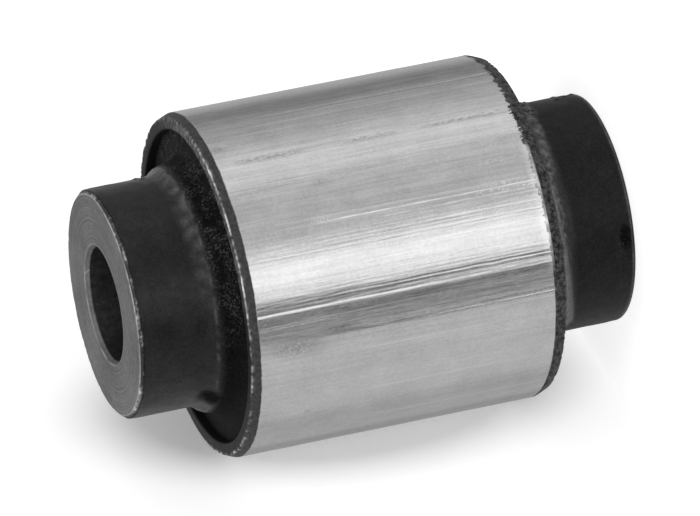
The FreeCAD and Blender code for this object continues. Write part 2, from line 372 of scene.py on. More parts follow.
def lower_lip(place):
    """The smooth lip that the flash runs out into."""
    return bump_at(under_lip(place), 0.3, 0.75) * within(bearing(place), 12, 60, 8)


def lip_edge_highlight(place):
    """The uneven edge of that lip, on the side of the shell, where a highlight is painted."""
    edge = bump_at(under_lip(place), 0, 0.3) * within(bearing(place), -12, 60, 12)
    return edge * (0.5 + 1.4 * lumps(place, MM, 80))


def torn(place):
    """The torn blotch in the upper shoulder."""
    away = skin_distance(place, 63, 22.6, 1.2)
    return bump_at(away, 0, 2.1) * (0.4 + lumps(place, 0.7 * MM, 61))


push(rubber, 0.25 * MM, ragged_skin, "Z")
push(rubber, 0.08 * MM, swells)
push(rubber, 0.14 * MM, nibs)
push(rubber, -0.24 * MM, chip)
push(rubber, 0.35 * MM, flash)
push(rubber, 0.2 * MM, lower_lip)
push(rubber, -0.25 * MM, torn)


# Heights in millimetres: where the flank's dull part ends, and the painted highlight lines on the crest
# and at the skin's lower end
DULL_FLANK_TOP = 21.4
CREST_LINE = 22.35
END_LINE = 31.65


def rubber_dust(place):
    """Dust: thick in the groove beside the shell and round the chip, thin elsewhere."""
    in_groove = within(place.xy.length / MM, 15.2, 19.6, 0.5) * within(bearing(place), -110, 5, 40)
    in_groove *= max(0, 2.2 * lumps(place, 1.5 * MM, 71) - 0.35) * (abs(place.z) / MM < 22.3)
    round_chip = 0.75 * bump_at(skin_distance(place, CHIP_BEARING, -30.6, 2), 0, 1.8)
    return max(in_groove, round_chip, 0.35 * lumps(place, 2 * MM, 75))


def rubber_bloom_and_highlights(place):
    """A pale bloom with painted highlights: bloom, partly painted highlight, on the upper flare and
    shoulder and on the lower flash and lip; painted highlights along the crest, on a blob beside the torn
    blotch, along the lip's edge and at the skin's lower end.
    """
    turn = bearing(place)
    height = abs(place.z) / MM
    # A pale bloom on the upper flare and shoulder, partly painted highlight
    on_flare = 0.65 * bump_at(height, 22.5, 2.0) * (height > 22.4) * within(turn, -125, -20, 35)
    on_flare *= max(0, 2.2 * lumps(place, 1.2 * MM, 77) - 0.45)
    # Painted highlights: a thin line along the crest, and a blob beside the torn blotch
    crest_highlight = 0.7 * bump_at(height, CREST_LINE, 0.25) * within(turn, -120, 40, 20)
    crest_highlight *= max(0, 2.4 * lumps(place, 1.2 * MM, 78) - 0.7)
    blob_highlight = 0.5 * bump_at(math.hypot(math.radians(turn - 85) * 15, height - 22.4), 0, 1.4)
    if place.z > 0:
        return max(on_flare, crest_highlight, blob_highlight)
    # Below: pale dust on the flash, the flash and lip paler with partly painted highlight, and a painted
    # highlight along the lip's edge
    dusty_flash = 0.15 * bump_at(height, 23.0, 1.8) * within(turn, -85, 12, 12)
    # A painted highlight along the skin's rounded lower end
    end_highlight = 0.9 * bump_at(height, END_LINE, 0.2) * (0.3 + lumps(place, 1.5 * MM, 79))
    return max(0.55 * flash(place) + dusty_flash, 0.65 * lower_lip(place), lip_edge_highlight(place), end_highlight)


def rubber_dull_and_shaded(place):
    """Dull and darker: both flanks and grooves, with painted shade, and less so the lower skin."""
    height = abs(place.z) / MM
    if place.z > 0:
        return within(height, 0, DULL_FLANK_TOP, 0.9)
    return max(within(height, 0, DULL_FLANK_TOP + 0.55, 0.2), 0.38 * within(height, 24.5, 31.2, 0.4))


def rubber_flash(place):
    """The flash and the lip, which shine more than the rest."""
    return max(flash(place), 0.6 * lower_lip(place), 1.3 * lip_edge_highlight(place))


def rubber_dark_patches(place):
    """Darker, duller patches over the torn blotch and the chip."""
    return 1.6 * torn(place) + 1.4 * chip(place)


for name, weight in (("dust", rubber_dust), ("bloom_and_highlights", rubber_bloom_and_highlights), ("matt", rubber_dull_and_shaded),
                     ("flash", rubber_flash), ("dark_patches", rubber_dark_patches)):
    paint(rubber, name, weight)

# Moulded natural rubber, black with carbon: matt, with a faint bloom in patches that is partly painted
# highlight, painted highlights on the crest, lip and lower end, painted shade on the flanks and grooves,
# a fine grain from the mould, and pale specks of dust up to 0.3 mm across. The body's tones are linear
# greys.
material, tree = new_tree("moulded_natural_rubber")
place = add(tree, "Mapping", {"Vector": add(tree, "TexCoord", {}).outputs["Object"],
                              "Scale": (1000, 1000, 1000)})
patches = add(tree, "TexNoise", {"Vector": place, "Scale": 0.25, "Detail": 5.0, "Roughness": 0.6})
grain = add(tree, "TexNoise", {"Vector": place, "Scale": 3.0, "Detail": 6.0, "Roughness": 0.75})
dust = add(tree, "Attribute", {}, attribute_name="dust").outputs["Fac"]
bloom_and_highlights = add(tree, "Attribute", {}, attribute_name="bloom_and_highlights").outputs["Fac"]
matt = add(tree, "Attribute", {}, attribute_name="matt").outputs["Fac"]
dark_patches = add(tree, "Attribute", {}, attribute_name="dark_patches").outputs["Fac"]
# Flecks of dust: a scatter of dots, larger and denser where the dust is thick
ruffle = add(tree, "TexNoise", {"Vector": place, "Scale": 2.5, "Detail": 3.0}).outputs["Color"]
ruffled = add(tree, "MixRGB", {"Fac": 0.15, "Color1": place, "Color2": ruffle}, blend_type="ADD")
dots = add(tree, "TexVoronoi", {"Vector": ruffled, "Scale": 3.2})
reach = add(tree, "MapRange", {"Value": dust, "From Min": 0.12, "From Max": 1,
                               "To Min": 0.07, "To Max": 0.5})
speck = add(tree, "Math", {0: reach, 1: dots.outputs["Distance"]}, operation="SUBTRACT")
speck = add(tree, "Math", {0: speck, 1: 9.0}, operation="MULTIPLY", use_clamp=True)
strewn = add(tree, "SeparateXYZ", {"Vector": dots.outputs["Color"]})
speck = add(tree, "Math", {0: speck, 1: strewn.outputs["X"]}, operation="MULTIPLY")
body = add(tree, "MapRange", {"Value": patches, "From Min": 0.3, "From Max": 0.7,
                              "To Min": 0.003, "To Max": 0.010})
fine = add(tree, "MapRange", {"Value": grain, "From Min": 0.35, "From Max": 0.65,
                              "To Min": 0.55, "To Max": 1.45})
powder = add(tree, "MapRange", {"Value": grain, "From Min": 0.48, "From Max": 0.62,
                                "To Min": 0, "To Max": 0.25})
powder = add(tree, "Math", {0: powder, 1: dust}, operation="MULTIPLY")
# The veil: the pale bloom and dust, together with the painted highlights
veil_and_highlights = add(tree, "Math", {0: bloom_and_highlights, 1: powder}, operation="ADD")
veil_and_highlights = add(tree, "Math", {0: veil_and_highlights, 1: 0.12}, operation="MULTIPLY")
body = add(tree, "Math", {0: body, 1: veil_and_highlights}, operation="ADD")
body = add(tree, "Math", {0: body, 1: fine}, operation="MULTIPLY")
dark = add(tree, "Math", {0: matt, 1: dark_patches}, operation="MAXIMUM")
# Painted shade on the flanks and grooves, and a slightly darker lower skin
groove_shade_and_darker_skin = add(tree, "MapRange", {"Value": matt, "To Min": 1.0, "To Max": 0.8})
body = add(tree, "Math", {0: body, 1: groove_shade_and_darker_skin}, operation="MULTIPLY")
# Much darker over the torn blotch and the chip
in_dark_patches = add(tree, "MapRange", {"Value": dark_patches, "To Min": 1.0, "To Max": 0.15})
body = add(tree, "Math", {0: body, 1: in_dark_patches}, operation="MULTIPLY")
colour = add(tree, "MixRGB", {"Fac": speck, "Color1": body, "Color2": linear("#545454")})
rough = add(tree, "MapRange", {"Value": patches, "From Min": 0.35, "From Max": 0.65,
                               "To Min": 0.30, "To Max": 0.44})
rough = add(tree, "MixRGB", {"Fac": dark, "Color1": rough, "Color2": (0.7, 0.7, 0.7, 1)})
handled = add(tree, "TexNoise", {"Vector": place, "Scale": 0.7, "Detail": 6.0, "Roughness": 0.7})
sheen = add(tree, "MapRange", {"Value": handled, "From Min": 0.4, "From Max": 0.6,
                               "To Min": 0.17, "To Max": 0.23})
gloss = add(tree, "MapRange", {"Value": dark, "To Min": sheen, "To Max": 0.05})
flash_seen = add(tree, "Attribute", {}, attribute_name="flash").outputs["Fac"]
gloss = add(tree, "Math", {0: flash_seen, 1: 0.5, 2: gloss}, operation="MULTIPLY_ADD")
relief = add(tree, "Bump", {"Height": grain, "Distance": 0.02 * MM, "Strength": 1.0})
relief = add(tree, "Bump", {"Height": patches, "Distance": 0.12 * MM, "Strength": 1.0, "Normal": relief})
relief = add(tree, "Bump", {"Height": speck, "Distance": 0.03 * MM, "Strength": 1.0, "Normal": relief})
shader = add(tree, "BsdfPrincipled", {"Base Color": colour, "Roughness": rough,
                                      "Specular IOR Level": gloss, "Normal": relief})
add(tree, "OutputMaterial", {"Surface": shader})
rubber.data.materials.append(material)
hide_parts("rubber_body")
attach(rubber, "root")


# The outer shell is thin welded and drawn steel tube with a long lead chamfer at each end for
# pressing it into its eye. It was coated dark for bonding, and then a sizing die wiped the barrel
# bright and scored it lengthwise, while the coat stayed on the chamfers and the ends.
LEAD_WIDTH = 0.5 * MM
LEAD_LENGTH = 1.2 * MM
MOUTH_BREAK = 0.25 * MM
FACE_INSIDE = SHELL_INSIDE + MOUTH_BREAK
FACE_OUTSIDE = SHELL_RADIUS - LEAD_WIDTH - 0.1 * MM
SHELL_COLUMNS = 720
SEAM_WINDOW = (-21.2, 24.2)

# The upper half of the section: up the inside, over the worn mouth, across the end face and down the
# lead chamfer and the barrel, with more corners near the barrel's end, where the coat is torn
shell_section = [(SHELL_INSIDE, height * MM) for height in (6, 12, 18)]
shell_section += arc((FACE_INSIDE, SHELL_TOP - MOUTH_BREAK), MOUTH_BREAK, math.pi, math.pi / 2, 3)
shell_section += [(radius, SHELL_TOP) for radius in between(FACE_INSIDE, FACE_OUTSIDE, 3)]
shell_section += [(FACE_OUTSIDE, SHELL_TOP)]
shell_section += [(SHELL_RADIUS - LEAD_WIDTH * (1 - share), SHELL_TOP - LEAD_LENGTH * share)
                  for share in (0, 0.08, 0.2, 0.4, 0.7, 1)]
shell_section += [(SHELL_RADIUS, SHELL_TOP - LEAD_LENGTH - below * MM) for below in (0.15, 0.35, 0.6)]
shell_section += [(SHELL_RADIUS, height) for height in between(SHELL_TOP - LEAD_LENGTH - 0.6 * MM, 0, 22)]
shell = turned("shell", mirrored(shell_section), SHELL_COLUMNS)

# The columns beside the seam are halved, for its sharp edge
bpy.ops.object.mode_set(mode="EDIT")
bpy.ops.mesh.select_mode(type="EDGE")
bpy.ops.mesh.select_all(action="DESELECT")
bpy.ops.object.mode_set(mode="OBJECT")
points = [vertex.co for vertex in shell.data.vertices]
for edge in shell.data.edges:
    one, two = (points[index] for index in edge.vertices)
    runs_round = abs(one.z - two.z) < 0.01 * MM and abs(one.xy.length - two.xy.length) < 0.01 * MM
    edge.select = runs_round and SEAM_WINDOW[0] < bearing(one + two) < SEAM_WINDOW[1]
bpy.ops.object.mode_set(mode="EDIT")
bpy.ops.mesh.subdivide(number_cuts=1)
bpy.ops.mesh.select_mode(type="VERT")
bpy.ops.object.mode_set(mode="OBJECT")

# The seam: depth in millimetres under the barrel against bearing, at the upper and the lower end.
# The weld was planed off there, which left a flat with a sharp edge.
SEAM_UPPER = [(6.5, 0), (7.0, 0.02), (10.7, 0.11), (11.0, 0.05), (11.6, 0.04), (15.0, 0.09), (18.5, 0.10),
              (32.0, 0)]
SEAM_LOWER = [(7.4, 0), (7.9, 0.035), (8.2, 0.015), (8.6, 0.015), (8.9, 0.05), (9.2, 0.05), (11.6, 0),
              (15.5, 0.075), (18.0, 0.09), (20.2, 0.090), (21.8, 0)]
# Between these heights, in millimetres, the one form gives way to the other
SEAM_CHANGE = (-12, 19)


def depth_from(table, turn):
    """The depth at a bearing, in a straight line from one row of the table to the next."""
    for (turn_1, depth_1), (turn_2, depth_2) in zip(table, table[1:]):
        if turn_1 <= turn < turn_2:
            return depth_1 + (depth_2 - depth_1) * (turn - turn_1) / (turn_2 - turn_1)
    return 0


# Scores from the sizing die: bearing and half width in degrees, depth, upper and lower end in mm
SCORES = [(-63.0, 0.6, 0.030, 10.5, -18.0), (-58.0, 0.6, 0.034, 12.6, -18.0),
          (-54.5, 0.5, 0.020, 11.6, 7.3), (-44.0, 0.5, 0.014, 17.0, -2.0),
          (-40.5, 0.5, 0.020, 18.0, 1.0), (-36.0, 0.5, 0.012, 19.0, -12.0),
          (-28.5, 0.6, 0.012, 16.0, 3.0), (-23.8, 0.3, 0.030, -8.9, -17.0),
          (-21.5, 0.5, 0.012, 17.0, -8.0), (-17.3, 0.3, 0.024, 17.0, -18.5),
          (-15.5, 0.4, 0.036, 8.6, -18.5), (-15.2, 0.3, 0.018, 15.0, 8.0),
          (-10.5, 0.3, 0.010, 14.0, -18.5), (-9.2, 0.3, 0.012, 9.0, -18.5),
          (-8.0, 0.3, 0.008, 18.0, -10.0), (-20.2, 0.35, 0.020, -5.0, -18.5),
          (-13.3, 0.35, 0.026, 1.0, -18.5), (-12.1, 0.3, 0.016, -4.0, -18.5),
          (-6.6, 0.3, 0.014, 17.0, -18.5), (-5.2, 0.3, 0.008, 2.0, -18.5),
          (4.6, 0.3, 0.006, 12.0, -18.5), (5.8, 0.3, 0.008, 10.0, -18.5),
          (15.2, 0.25, 0.018, 19.0, 7.0), (16.2, 0.25, 0.008, 19.0, 4.0),
          (21.0, 0.6, 0.022, 4.0, -18.8), (28.5, 0.4, 0.010, 5.0, -18.0),
          (45.5, 0.5, 0.016, 6.0, -16.0)]
dice = random.Random(12)
for turn in range(62, 290, 6):
    SCORES.append((turn + dice.uniform(-2.5, 2.5) - (360 if turn > 180 else 0), dice.uniform(0.4, 0.7),
                   dice.uniform(0.01, 0.035), dice.uniform(0, 19), dice.uniform(-19, 0)))
DEEPEST_SCORE = 0.15


def scoring(place):
    """How deep the seam, the barrel's waves and the scores go, as a share of the deepest."""
    if place.xy.length < SHELL_RADIUS - 0.02 * MM:
        return 0
    turn = bearing(place)
    height = place.z / MM
    share = min(max((height - SEAM_CHANGE[0]) / (SEAM_CHANGE[1] - SEAM_CHANGE[0]), 0), 1)
    waver = noise.noise(Vector((turn / 3, height / 9, 5)))
    turn += 0.2 * waver + 0.2 * noise.noise(Vector((turn, height / 2.5, 7)))
    depth = share * depth_from(SEAM_UPPER, turn) + (1 - share) * depth_from(SEAM_LOWER, turn)
    depth += 0.012 * noise.noise(Vector((turn * 1.5, height / 2, 11))) * within(turn, 6.5, 11.5, 1)
    depth += 0.035 * lumps(Vector((place.x, place.y, place.z / 2)), 3.5 * MM, 111)
    for middle, half_width, deep, upper, lower in SCORES:
        aside = abs(turn - middle) / half_width
        if aside < 1:
            uneven = 0.9 + noise.noise(Vector((middle, height / 1.6, 9)))
            depth += uneven * deep * (1 - aside) * within(height, lower, upper, 3)
    return depth / DEEPEST_SCORE


# Galled streaks, where the die picked up metal: bearing and half width in degrees, upper and lower
# end in mm
GALLS = [(-42.5, 2.2, 16.0, 9.0), (-42.5, 1.3, 2.0, -3.0), (-42.5, 1.3, -8.0, -17.0),
         (-16.6, 0.8, 9.2, 8.2), (-24.5, 1.6, -8.0, -17.5), (-50.0, 1.8, 18.8, 17.2),
         (150, 2.5, 10.0, -12.0), (-130, 2.0, 16.0, 2.0)]
# Streaks with bright pits, listed in the same way
PITS = [(-16.4, 0.9, 9.0, 8.4), (-8.0, 1.2, -11.5, -16.0), (-15.2, 0.9, -12.0, -18.3),
        (-17.0, 0.8, -12.0, -18.3)]


def streaks(place, table):
    """1 along the listed streaks on the barrel, falling to 0 round them."""
    if place.xy.length < SHELL_RADIUS - 0.2 * MM:
        return 0
    turn = bearing(place)
    height = place.z / MM
    return max(bump_at(turn, middle, half) * within(height, lower, upper, 1.5)
               for middle, half, upper, lower in table)


def galling(place):
    """Rough torn metal in the galled streaks."""
    drawn_out = Vector((place.x, place.y, place.z / 3))
    return streaks(place, GALLS) * min(1, 2 * lumps(drawn_out, 0.5 * MM, 81))


def pitting(place):
    """Bright pits in their streaks."""
    return streaks(place, PITS)


def shell_knocks(place):
    """Knocks along the edge between the end face and the lead chamfer."""
    away = math.hypot(place.xy.length - SHELL_RADIUS + LEAD_WIDTH, abs(place.z) - SHELL_TOP)
    knock = lumps(place, 0.6 * MM, 91) * lumps(place, 4 * MM, 95) * 4
    return bump_at(away, 0, 0.4 * MM) * max(0, 1.3 * knock - 1.3)


# Rubbed lines along the barrel: bearing and half width in degrees, upper and lower end in mm, strength
RUBS = [(21.0, 1.2, -6, -18.3, 0.22), (-63.0, 0.6, 8, -18, 0.25), (-58.0, 0.6, 10, -18, 0.25),
        (-54.5, 0.5, 11, 8, 0.2), (-17.3, 0.5, 6, -18.3, 0.25), (-15.6, 0.5, 7, -18.3, 0.3),
        (28.5, 0.5, 3, -9, 0.2), (45.5, 0.6, 2, -10, 0.25), (15.6, 0.4, 18, 10, 0.2),
        (62.0, 0.8, 0, -14, 0.25)]


def shell_bright(place):
    """Bright steel: on the inner side of the chamfer's edge, as a near whole line on one side of the
    upper end, along the rubbed lines, and at the barrel's lower end, where the coat is torn."""
    turn = bearing(place)
    height = place.z / MM
    across = (place.xy.length - SHELL_RADIUS + LEAD_WIDTH) / MM
    edge = within(across, -0.12, 0.02, 0.15) * within(SHELL_TOP / MM - abs(height), 0, 0.08, 0.1)
    line = within(turn, -52, 6, 12) * (place.z > 0)
    edge *= 2.2 * lumps(place, 0.5 * MM, 101) + 2.8 * lumps(place, 2.2 * MM, 105) - 2.75 + 0.95 * line
    edge *= 1 if place.z > 0 else 0.2
    knocks = 0.8 * shell_knocks(place) * (place.z > 0)
    lines = 0
    if place.xy.length > SHELL_RADIUS - 0.2 * MM and height > -19:
        lines = max(strength * bump_at(turn, middle, half) * within(height, lower, upper, 6)
                    for middle, half, upper, lower, strength in RUBS)
        lines *= 0.4 + 1.2 * lumps(place, 1.5 * MM, 109)
        torn_end = within(height, -19, -18.6, 0.5) * within(turn, -24, 8, 8)
        lines = max(lines, torn_end * (0.1 + lumps(place, 1.2 * MM, 107)))
    return max(edge, knocks, lines)


def shaded_ends(place):
    """The flat end faces, the mouths and the inside, painted darker as shade."""
    return (place.xy.length < SHELL_RADIUS - LEAD_WIDTH - 0.05 * MM) * 1.0


def paler_face_side(place):
    """The upper end face, paler grey on one side."""
    on_face = within(place.xy.length / MM, 19.8, 21.1, 0.2) * (SHELL_TOP - abs(place.z) < 0.1 * MM)
    return on_face * (0.1 + 0.9 * within(bearing(place), -75, -10, 25)) * (place.z > 0)


def stains(place):
    """Dull smudges on the bright barrel: bearing, half width, height and half height of each."""
    turn = bearing(place)
    height = place.z / MM
    smudges = [(23.5, 5, 14.5, 5.5), (19.5, 2, 9, 4), (-50, 2.2, 18.3, 0.9), (51, 1.5, 12.6, 0.6),
               (-29, 2.5, 7.5, 2)]
    return max(bump_at(math.hypot((turn - middle) / wide, (height - level) / tall), 0, 1)
               for middle, wide, level, tall in smudges)


for name, weight in (("bright", shell_bright), ("galled", galling), ("pitted", pitting),
                     ("end_shade", shaded_ends), ("paler_side", paler_face_side), ("stained", stains)):
    paint(shell, name, weight)
push(shell, -DEEPEST_SCORE * MM, scoring)
push(shell, -0.03 * MM, galling)
push(shell, -0.10 * MM, shell_knocks)

# Drawn bright steel: mid grey metal with long streaks along the tube, from hairlines up to bands
# a millimetre wide. The bonding coat on the ends is matt near-black paint with a ragged edge. The
# tones of both are linear greys.
material, tree = new_tree("drawn_bright_steel")
place = add(tree, "Mapping", {"Vector": add(tree, "TexCoord", {}).outputs["Object"],
                              "Scale": (1000, 1000, 1000)})
drawn = add(tree, "Mapping", {"Vector": place, "Scale": (1, 1, 0.012)})
scratched = add(tree, "Mapping", {"Vector": place, "Scale": (1, 1, 0.03)})
part = add(tree, "SeparateXYZ", {"Vector": place})
hairlines = add(tree, "TexNoise", {"Vector": scratched, "Scale": 3.0, "Detail": 5.0, "Roughness": 0.75})
bands = add(tree, "TexNoise", {"Vector": drawn, "Scale": 0.6, "Detail": 4.0, "Roughness": 0.6})
grain = add(tree, "TexNoise", {"Vector": place, "Scale": 3.0, "Detail": 5.0, "Roughness": 0.7})
smudge = add(tree, "TexNoise", {"Vector": place, "Scale": 0.25, "Detail": 6.0, "Roughness": 0.65})
tone = add(tree, "MixRGB", {"Fac": 0.35, "Color1": hairlines, "Color2": bands})
# Towards -X the barrel is calmer, with weaker streaks
calm = add(tree, "MapRange", {"Value": part.outputs["X"], "From Min": -14.0, "From Max": -6.0,
                              "To Min": 0.6, "To Max": 0.0})
tone = add(tree, "MixRGB", {"Fac": calm, "Color1": tone, "Color2": (0.5, 0.5, 0.5, 1)})
tone = add(tree, "MixRGB", {"Fac": 0.3, "Color1": tone, "Color2": grain})
tone = add(tree, "MixRGB", {"Fac": 0.2, "Color1": tone, "Color2": smudge})
steel = add(tree, "MapRange", {"Value": tone, "From Min": 0.38, "From Max": 0.62,
                               "To Min": 0.32, "To Max": 0.51})
# Torn specks 0.3 mm long in the galled streaks, bright flecks of the grain in the pitted ones, and
# a mottle of the grain in the smudges
galled = add(tree, "Attribute", {}, attribute_name="galled").outputs["Fac"]
tears = add(tree, "Mapping", {"Vector": place, "Scale": (3.5, 3.5, 1.6)})
tears = add(tree, "TexNoise", {"Vector": tears, "Scale": 1.0, "Detail": 3.0, "Roughness": 0.8})
pits = add(tree, "MapRange", {"Value": grain, "From Min": 0.55, "From Max": 0.62,
                              "To Min": 0, "To Max": 0.8})
tears = add(tree, "MapRange", {"Value": tears, "From Min": 0.48, "From Max": 0.65})
tears = add(tree, "Math", {0: tears, 1: galled}, operation="MULTIPLY")
pitted = add(tree, "Attribute", {}, attribute_name="pitted").outputs["Fac"]
pits = add(tree, "Math", {0: pits, 1: pitted}, operation="MULTIPLY")
stained = add(tree, "Attribute", {}, attribute_name="stained").outputs["Fac"]
blotch = add(tree, "MapRange", {"Value": grain, "From Min": 0.4, "From Max": 0.6,
                                "To Min": 0, "To Max": 0.6})
blotch = add(tree, "Math", {0: blotch, 1: stained}, operation="MULTIPLY")
dulled = add(tree, "Math", {0: tears, 1: 0.4, 2: blotch}, operation="MULTIPLY_ADD", use_clamp=True)
steel = add(tree, "MixRGB", {"Fac": dulled, "Color1": steel, "Color2": linear("#5C5C5C")})
steel = add(tree, "MixRGB", {"Fac": pits, "Color1": steel, "Color2": linear("#DCDCDC")})
# The coat's edge, by its height in millimetres: straight but for a slight waver at the upper end, and
# torn into tongues, with the grain's specks, at the lower. The tongues are longer towards +X.
waver = add(tree, "TexNoise", {"Vector": place, "Scale": 0.5, "Detail": 5.0, "Roughness": 0.6})
tongues = add(tree, "Mapping", {"Vector": place, "Scale": (1.3, 1.3, 0.35)})
tongues = add(tree, "TexNoise", {"Vector": tongues, "Scale": 1.0, "Detail": 5.0, "Roughness": 0.7})
torn_side = add(tree, "MapRange", {"Value": part.outputs["X"], "From Min": -8.0, "From Max": 8.0,
                                   "To Min": 0.2, "To Max": 1.8})
tongues = add(tree, "Math", {0: tongues, 1: grain}, operation="ADD")
tongues = add(tree, "Math", {0: tongues, 1: 0.92}, operation="SUBTRACT")
tongues = add(tree, "Math", {0: tongues, 1: torn_side}, operation="MULTIPLY")
upper_edge = add(tree, "MapRange", {"Value": waver, "From Min": 0.2, "From Max": 0.8,
                                    "To Min": 18.95, "To Max": 19.15})
lower_edge = add(tree, "Math", {0: tongues, 1: -18.65}, operation="ADD")
above = add(tree, "Math", {0: part.outputs["Z"], 1: upper_edge}, operation="SUBTRACT")
below = add(tree, "Math", {0: lower_edge, 1: part.outputs["Z"]}, operation="SUBTRACT")
coated = add(tree, "Math", {0: above, 1: below}, operation="MAXIMUM")
coated = add(tree, "Math", {0: coated, 1: 8.0}, operation="MULTIPLY", use_clamp=True)
across = add(tree, "VectorMath", {0: place, 1: (1, 1, 0)}, operation="MULTIPLY")
from_axis = add(tree, "VectorMath", {0: across}, operation="LENGTH").outputs["Value"]
inside = add(tree, "Math", {0: from_axis, 1: SHELL_INSIDE / MM + 0.1}, operation="LESS_THAN")
coated = add(tree, "Math", {0: coated, 1: inside}, operation="MAXIMUM")
bright = add(tree, "Attribute", {}, attribute_name="bright").outputs["Fac"]
bare = add(tree, "Math", {0: 1.0, 1: bright}, operation="SUBTRACT")
coated = add(tree, "Math", {0: coated, 1: bare}, operation="MULTIPLY", use_clamp=True)
steel = add(tree, "MixRGB", {"Fac": bright, "Color1": steel, "Color2": linear("#D6D6D6")})
# The coat: flecked, with more contrast at the lower end, plain and darker with painted shade on the end
# faces, the mouths and the inside, and paler grey on one side of the upper end face
flecked = add(tree, "TexNoise", {"Vector": place, "Scale": 1.8, "Detail": 5.0, "Roughness": 0.8})
# Paler grey on one side of the upper end face
paler_side = add(tree, "Attribute", {}, attribute_name="paler_side").outputs["Fac"]
paler_grey = add(tree, "MapRange", {"Value": flecked, "From Min": 0.42, "From Max": 0.58,
                              "To Min": 0.03, "To Max": 0.22})
darkest = add(tree, "MapRange", {"Value": part.outputs["Z"], "From Min": -1.0, "From Max": 1.0,
                                 "To Min": 0.014, "To Max": 0.050})
palest = add(tree, "MapRange", {"Value": part.outputs["Z"], "From Min": -1.0, "From Max": 1.0,
                                "To Min": 0.115, "To Max": 0.085})
paint_tone = add(tree, "MapRange", {"Value": flecked, "From Min": 0.42, "From Max": 0.58,
                                    "To Min": darkest, "To Max": palest})
# Painted shade: darker end faces, mouths and inside
end_shade = add(tree, "Attribute", {}, attribute_name="end_shade").outputs["Fac"]
paint_tone = add(tree, "MixRGB", {"Fac": end_shade, "Color1": paint_tone, "Color2": linear("#1D1D1D")})
paint_tone = add(tree, "MixRGB", {"Fac": paler_side, "Color1": paint_tone, "Color2": paler_grey})
colour = add(tree, "MixRGB", {"Fac": coated, "Color1": steel, "Color2": paint_tone})
metal = add(tree, "Math", {0: 1.0, 1: coated}, operation="SUBTRACT")
rough = add(tree, "MapRange", {"Value": tone, "From Min": 0.35, "From Max": 0.65,
                               "To Min": 0.18, "To Max": 0.28})
rough = add(tree, "Math", {0: coated, 1: 0.28, 2: rough}, operation="MULTIPLY_ADD")
rubbed = add(tree, "Math", {0: bright, 1: pits}, operation="MAXIMUM")
rough = add(tree, "Math", {0: rubbed, 1: 0.2, 2: rough}, operation="MULTIPLY_ADD")
# Short scratches, 0.2 mm wide and 2 mm long, on the part of the barrel that isn't calm
short = add(tree, "Mapping", {"Vector": place, "Scale": (1, 1, 0.1)})
short = add(tree, "TexNoise", {"Vector": short, "Scale": 2.5, "Detail": 3.0, "Roughness": 0.7})
lively = add(tree, "MapRange", {"Value": calm, "From Min": 0, "From Max": 0.6,
                                "To Min": 1.0, "To Max": 0.3})
short = add(tree, "Math", {0: short, 1: lively}, operation="MULTIPLY")
torn_metal = add(tree, "Math", {0: tears, 1: pits}, operation="ADD")
relief = add(tree, "Bump", {"Height": hairlines, "Distance": 0.010 * MM, "Strength": 1.0})
relief = add(tree, "Bump", {"Height": short, "Distance": 0.012 * MM, "Strength": 1.0, "Normal": relief})
relief = add(tree, "Bump", {"Height": bands, "Distance": 0.03 * MM, "Strength": 1.0, "Normal": relief})
relief = add(tree, "Bump", {"Height": grain, "Distance": 0.006 * MM, "Strength": 1.0, "Normal": relief})
relief = add(tree, "Bump", {"Height": torn_metal, "Distance": 0.025 * MM, "Strength": 1.0,
                            "Normal": relief})
shader = add(tree, "BsdfPrincipled", {"Base Color": colour, "Metallic": metal, "Roughness": rough,
                                      "Specular IOR Level": 0.06, "Normal": relief})
add(tree, "OutputMaterial", {"Surface": shader})
shell.data.materials.append(material)
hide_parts("outer_shell")
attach(shell, "root")


# The studio: the bush stands on a white floor, close in front of a white backdrop. Each takes the bush's
# soft shadow, and its own white glow, weakest round a middle near the bush, paints more shadow there.
# Both show to the camera alone.
# In the steel, the white surroundings take their place, because the soft boxes reach from below the floor
# to far above it.
def stage_card(name, size, location, facing, material):
    """A flat card that isn't part of the bush."""
    bpy.ops.object.select_all(action="DESELECT")
    bpy.ops.mesh.primitive_plane_add(size=1)
    card = bpy.context.object
    card.name = name
    for vertex in card.data.vertices:
        vertex.co.x *= size[0]
        vertex.co.y *= size[1]
    card.location = location
    card.rotation_euler = Vector(facing).to_track_quat("Z", "Y").to_euler()
    card.data.materials.append(material)
    return card


PAPER_SIZE = (30, 30)
LEAST_GLOW = 0.2
UPWARDS = Vector((0, 0, 1))
BACKDROP_FACING = Vector((0.8459, -0.5333, 0))
